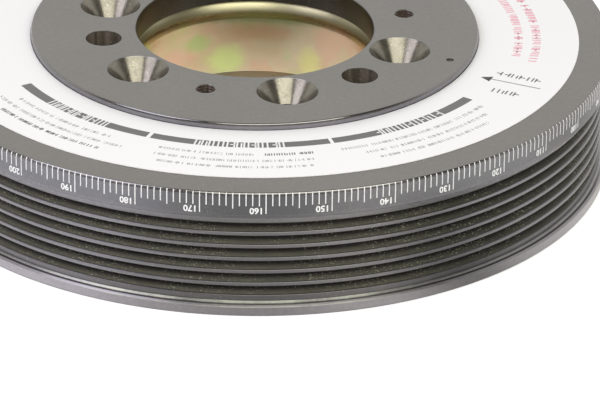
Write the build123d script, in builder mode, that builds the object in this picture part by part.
"""Rebuildable crankshaft torsional damper (harmonic balancer) with a six-rib belt pulley.

An outer shell and an inner shell close round a heavy inertia ring, which floats between them on
elastomer rings. The crank hub it bolts to is a separate part and isn't fitted.

Frame: millimetres, +Z along the crank axis towards the front of the engine, origin on the axis at the
rear face, so the damper stands on its rear face.
"""
from build123d import *
import os
from math import cos, radians, sin, tan

# ---- overall ----
outer_radius = 95.0          # timing band
flange_radius = 95.05        # rear belt flange, a hair larger than the band
ring_face_z = 34.6           # front face of the outer ring, where the decal sits
hub_face_z = 36.5            # front face of the raised centre
rim_chamfer = 0.55           # front corner of the timing band
edge_break = 0.3             # small turned edge breaks

# ---- raised centre and pilot bore ----
pilot_radius = 31.75         # 2.5 in pilot register of the crank hub
hub_radius = 59.8
hub_chamfer = 0.45
web_back_z = 29.3            # joint face between the two shells

# ---- belt grooves (PK profile) ----
rib_pitch = 3.56
rib_count = 6
groove_angle = 40.0          # between the flanks
groove_width = 2.66          # at the crest radius
groove_depth = 2.9
crest_radius = 93.3
first_groove_z = 24.12       # middle of the front groove
band_back_z = 27.75          # where the timing band starts to taper to the grooves

# ---- rear belt flange ----
land_height = 1.6            # crest land behind the last groove
flange_face_z = 2.95
flange_face_in = 93.75
flange_chamfer = 0.5

# ---- cavity and inertia ring ----
cavity_radius = 87.0
cavity_front_z = 28.6
closure_radius = 88.0        # counterbore that takes the inner shell's flange
closure_z = 6.5              # shoulder of that counterbore, and the flange's front face
sleeve_radius = 55.0         # inner shell's sleeve
register_gap = 0.1           # radial clearance of the turned registers
ring_gap = 1.0               # running gap round the inertia ring
ring_break = 0.8             # its outer corner chamfers
seat_depth = 3.0             # elastomer groove depth in the inertia ring
seat_width = 5.2
face_seat_radii = {"outer": 76.5, "inner": 65.5}
rim_seat_heights = {"front": 22.0, "rear": 13.1}

# ---- elastomer rings ----
elastomer_width = 4.4
elastomer_corner = 1.2       # bulged corners of the squeezed section

# ---- inner shell ----
inner_rear_z = 0.5           # its rear face, just inside the outer shell's
recess_radius = 50.0         # register for the crank hub's flange
recess_depth_z = 8.0         # ceiling of that register
flare_start_z = 24.1         # the sleeve's bore flares from here to its front end
flare = 1.9                  # how far it opens

# ---- bolt circle ----
bolt_circle_radius = 41.0
bolt_phase = -77.3           # first hub bolt, degrees from +X
offset_hole_angle = -20.3    # the one hub bolt hole out of step, so the hub fits one way only
offset_hole_index = 1        # its place in the ring of six
bolt_hole_radius = 4.2
bolt_head_radius = 8.1
countersink_angle = 68.0
puller_hole_radius = 4.75
puller_phase = -47.3
screw_phase = -107.3
witness_radius = 55.3        # dimple that marks the offset hole
witness_angle = -21.0
witness_hole_radius = 1.0
witness_depth = 1.2

# ---- shell screws ----
screw_radius = 2.4
screw_hole_radius = 2.6
screw_seat_radius = 4.8      # mouth of the countersink they sit in
screw_cone_angle = 82.0
screw_head_sink = 0.1        # head this far below the recess ceiling
screw_end_z = 33.6
screw_point = 0.5            # chamfer at the tip
socket_radius = 1.8          # hexagon socket, across the corners
socket_depth = 2.0
thread_gap = 0.02

# ---- decal ----
decal_inner = 60.0
decal_outer = 86.55
decal_thickness = 0.15


def ring_points(radius, angles):
    """Points on a circle round the axis, for a list of angles in degrees."""
    return [(radius * cos(radians(a)), radius * sin(radians(a))) for a in angles]


def groove_outline():
    """(r, z) corners of the six grooves, from the front groove's front corner backwards."""
    half = groove_width / 2
    root_half = half - groove_depth * tan(radians(groove_angle / 2))
    root_radius = crest_radius - groove_depth
    points = []
    for rib in range(rib_count):
        middle = first_groove_z - rib * rib_pitch
        points += [
            (crest_radius, middle + half),
            (root_radius, middle + root_half),
            (root_radius, middle - root_half),
            (crest_radius, middle - half),
        ]
    return points


hub_bolt_angles = [bolt_phase + 60 * i for i in range(6)]
hub_bolt_angles[offset_hole_index] = offset_hole_angle
hub_bolt_points = ring_points(bolt_circle_radius, hub_bolt_angles)
puller_points = ring_points(bolt_circle_radius, [puller_phase + 120 * i for i in range(3)])
screw_points = ring_points(bolt_circle_radius, [screw_phase + 120 * i for i in range(3)])
witness_points = ring_points(witness_radius, [witness_angle])

last_land_z = first_groove_z - (rib_count - 1) * rib_pitch - groove_width / 2
os.makedirs("parts", exist_ok=True)

# ---- outer shell: web, timing band, belt grooves and rear flange, turned in one piece ----
with BuildPart() as outer_shell:
    with BuildSketch(Plane.XZ):
        with BuildLine():
            Polyline(
                (pilot_radius, web_back_z),
                (pilot_radius, hub_face_z - edge_break),
                (pilot_radius + edge_break, hub_face_z),
                (hub_radius - hub_chamfer, hub_face_z),
                (hub_radius, hub_face_z - hub_chamfer),
                (hub_radius, ring_face_z),
                (outer_radius - rim_chamfer, ring_face_z),
                (outer_radius, ring_face_z - rim_chamfer),
                (outer_radius, band_back_z),
                *groove_outline(),
                (crest_radius, last_land_z - land_height),
                (flange_face_in, flange_face_z),
                (flange_radius - flange_chamfer, flange_face_z),
                (flange_radius, flange_face_z - flange_chamfer),
                (flange_radius, edge_break),
                (flange_radius - edge_break, 0),
                (closure_radius, 0),
                (closure_radius, closure_z),
                (cavity_radius, closure_z),
                (cavity_radius, cavity_front_z),
                (sleeve_radius + register_gap, cavity_front_z),
                (sleeve_radius + register_gap, web_back_z),
                close=True,
            )
        make_face()
    revolve(axis=Axis.Z)
    with Locations(Plane.XY.offset(hub_face_z)):
        with Locations(hub_bolt_points):
            CounterSinkHole(bolt_hole_radius, bolt_head_radius, counter_sink_angle=countersink_angle)
        with Locations(puller_points):
            Hole(puller_hole_radius)
        with Locations(screw_points):
            Hole(screw_radius + thread_gap)
        with Locations(witness_points):
            Hole(witness_hole_radius, depth=witness_depth)
outer_shell.part.label = "outer_shell"
export_step(outer_shell.part, "parts/outer_shell.step")

# ---- inner shell: sleeve, hub register and rear closing flange, turned in one piece ----
with BuildPart() as inner_shell:
    with BuildSketch(Plane.XZ):
        with BuildLine():
            Polyline(
                (pilot_radius + flare, web_back_z),
                (sleeve_radius - edge_break, web_back_z),
                (sleeve_radius, web_back_z - edge_break),
                (sleeve_radius, closure_z),
                (closure_radius - register_gap, closure_z),
                (closure_radius - register_gap, inner_rear_z),
                (recess_radius + edge_break, inner_rear_z),
                (recess_radius, inner_rear_z + edge_break),
                (recess_radius, recess_depth_z),
                (pilot_radius + edge_break, recess_depth_z),
                (pilot_radius, recess_depth_z + edge_break),
                (pilot_radius, flare_start_z),
            )
            TangentArc((pilot_radius, flare_start_z), (pilot_radius + flare, web_back_z), tangent=(0, 1))
        make_face()
    revolve(axis=Axis.Z)
    with Locations(Plane.XY.offset(web_back_z)):
        with Locations(hub_bolt_points):
            Hole(bolt_hole_radius)
        with Locations(puller_points):
            Hole(puller_hole_radius)
    with Locations(Plane.XY.offset(recess_depth_z).rotated((180, 0, 0))):
        with Locations([(x, -y) for x, y in screw_points]):
            CounterSinkHole(screw_hole_radius, screw_seat_radius, counter_sink_angle=screw_cone_angle)
inner_shell.part.label = "inner_shell"
export_step(inner_shell.part, "parts/inner_shell.step")

# ---- inertia ring: floats in the cavity, with a groove for each elastomer ring ----
ring_outer = cavity_radius - ring_gap
ring_inner = sleeve_radius + ring_gap
ring_rear_z = closure_z + ring_gap
ring_front_z = cavity_front_z - ring_gap
ring_middle_z = (ring_front_z + ring_rear_z) / 2

with BuildPart() as inertia_ring:
    with BuildSketch(Plane.XZ) as ring_section:
        with Locations(((ring_inner + ring_outer) / 2, ring_middle_z)):
            Rectangle(ring_outer - ring_inner, ring_front_z - ring_rear_z)
        chamfer(ring_section.vertices(), ring_break)
        for seat_radius in face_seat_radii.values():
            with Locations((seat_radius, ring_front_z)):
                Rectangle(seat_width, seat_depth, align=(Align.CENTER, Align.MAX), mode=Mode.SUBTRACT)
            with Locations((seat_radius, ring_rear_z)):
                Rectangle(seat_width, seat_depth, align=(Align.CENTER, Align.MIN), mode=Mode.SUBTRACT)
        for seat_z in rim_seat_heights.values():
            with Locations((ring_outer, seat_z)):
                Rectangle(seat_depth, seat_width, align=(Align.MAX, Align.CENTER), mode=Mode.SUBTRACT)
            with Locations((ring_inner, seat_z)):
                Rectangle(seat_depth, seat_width, align=(Align.MIN, Align.CENTER), mode=Mode.SUBTRACT)
    revolve(axis=Axis.Z)
inertia_ring.part.label = "inertia_ring"
export_step(inertia_ring.part, "parts/inertia_ring.step")

# ---- elastomer rings: each fills its groove and bridges the gap to the shell ----
squeeze = seat_depth + ring_gap
bridge = squeeze / 2
face_middles = {"front": cavity_front_z - bridge, "rear": closure_z + bridge}
side_middles = {"rim": cavity_radius - bridge, "sleeve": sleeve_radius + bridge}

elastomers = {}
for face, middle_z in face_middles.items():
    for place, seat_radius in face_seat_radii.items():
        elastomers[f"{face}_{place}_elastomer"] = (seat_radius, middle_z, elastomer_width, squeeze)
for side, middle_radius in side_middles.items():
    for end, seat_z in rim_seat_heights.items():
        elastomers[f"{side}_{end}_elastomer"] = (middle_radius, seat_z, squeeze, elastomer_width)

for name, (middle_radius, middle_z, width, height) in elastomers.items():
    with BuildPart() as elastomer:
        with BuildSketch(Plane.XZ) as section:
            with Locations((middle_radius, middle_z)):
                Rectangle(width, height)
            chamfer(section.vertices(), elastomer_corner)
        revolve(axis=Axis.Z)
    elastomer.part.label = name
    export_step(elastomer.part, f"parts/{name}.step")

# ---- shell screws: three flat heads from the rear, driven into the outer shell's web ----
half_cone = tan(radians(screw_cone_angle / 2))
head_z = recess_depth_z + screw_head_sink
head_radius = screw_seat_radius - screw_head_sink * half_cone
neck_z = head_z + (head_radius - screw_radius) / half_cone

with BuildPart() as shell_screws:
    for x, y in screw_points:
        with BuildSketch(Plane(origin=(x, y, 0), x_dir=(1, 0, 0), z_dir=(0, -1, 0))):
            with BuildLine():
                Polyline(
                    (0, head_z),
                    (head_radius, head_z),
                    (screw_radius, neck_z),
                    (screw_radius, screw_end_z - screw_point),
                    (screw_radius - screw_point, screw_end_z),
                    (0, screw_end_z),
                    close=True,
                )
            make_face()
        revolve(axis=Axis((x, y, 0), (0, 0, 1)))
    with BuildSketch(Plane.XY.offset(head_z)):
        with Locations(screw_points):
            RegularPolygon(socket_radius, 6)
    extrude(amount=socket_depth, mode=Mode.SUBTRACT)
shell_screws.part.label = "shell_screws"
export_step(shell_screws.part, "parts/shell_screws.step")

# ---- face decal: a vinyl ring on the outer ring's front face ----
with BuildPart() as face_decal:
    with BuildSketch(Plane.XY.offset(ring_face_z)):
        Circle(decal_outer)
        Circle(decal_inner, mode=Mode.SUBTRACT)
    extrude(amount=decal_thickness)
face_decal.part.label = "face_decal"
export_step(face_decal.part, "parts/face_decal.step")
